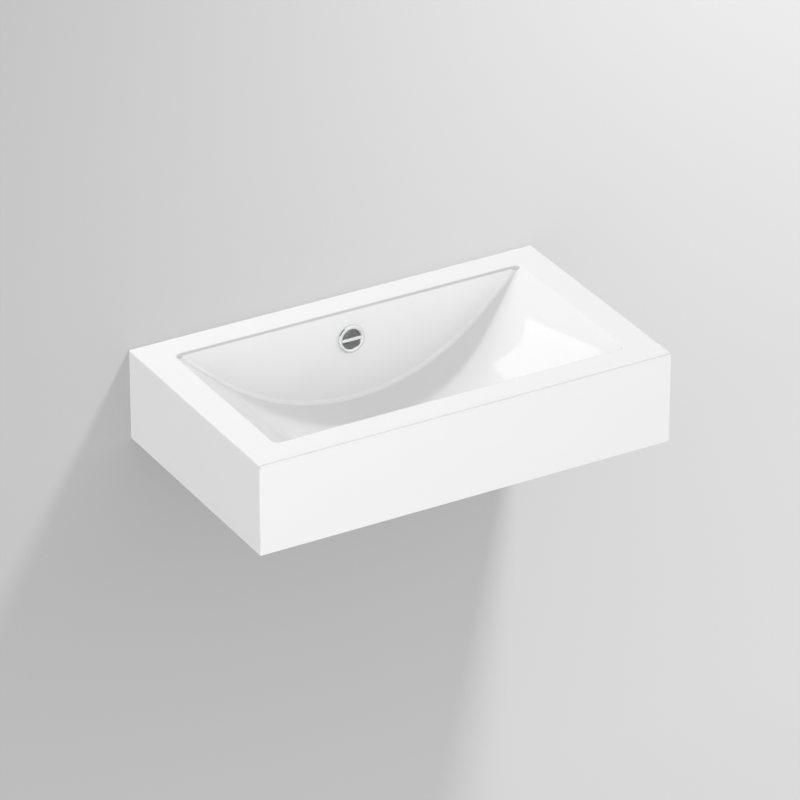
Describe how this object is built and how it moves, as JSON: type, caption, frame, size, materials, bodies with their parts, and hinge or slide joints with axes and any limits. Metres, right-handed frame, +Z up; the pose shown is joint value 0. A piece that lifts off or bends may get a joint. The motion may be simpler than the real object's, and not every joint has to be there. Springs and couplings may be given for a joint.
{
  "type": "wall-hung washbasin",
  "caption": "Rectangular wall-hung washbasin with a flat rim, a straight apron, a trough-shaped bowl, a chromed overflow and a push-open waste.",
  "frame": {"origin": "on the wall plane, midway between the two wall bolt holes", "axes": "+X to the user's right along the wall, +Y into the wall, +Z up"},
  "size_m": [0.6, 0.352, 0.2085],
  "materials": {
    "enamelled_steel": "white vitreous enamel, high gloss",
    "zinc_plated_steel": "bright zinc plate",
    "nylon": "moulded, natural",
    "damping_mat": "matt, lightly grained",
    "chromed_brass": "polished chrome plate",
    "clear_seal": "smooth grey sealing ring",
    "black_rubber": "smooth, matt",
    "white_polypropylene": "moulded, satin",
    "brass": "turned, bright",
    "spring_steel": "drawn stainless wire"
  },
  "bodies": {
    "basin": {"bowl_pressing": "enamelled_steel", "apron": "enamelled_steel", "wall_bracket_left": "zinc_plated_steel", "wall_bracket_right": "zinc_plated_steel", "bracket_bushes": "nylon", "sound_mat_left": "damping_mat", "sound_mat_right": "damping_mat", "overflow_ring": "chromed_brass", "overflow_front_seal": "clear_seal", "overflow_rear_seal": "black_rubber", "overflow_elbow": "white_polypropylene", "elbow_nut": "white_polypropylene", "elbow_seal": "black_rubber", "port_nut": "white_polypropylene", "port_seal": "black_rubber", "overflow_pipe": "white_polypropylene", "waste_cup": "chromed_brass", "flange_seal": "clear_seal", "body_seal": "black_rubber", "tail_seal": "black_rubber", "waste_body": "white_polypropylene", "waste_tail": "chromed_brass", "click_barrel": "brass", "click_spring": "spring_steel"},
    "plug": {"click_plunger": "brass", "plug_cap": "chromed_brass", "plug_seal": "black_rubber"}
  },
  "joints": [
    {"name": "plug_slide", "type": "slide", "parent": "basin", "child": "plug", "axis": [0, 0, 1], "range_m": [-0.008, 0], "stiffness_N_per_m": 300, "springref_m": 0.006, "deforming": ["click_spring"]}
  ]
}
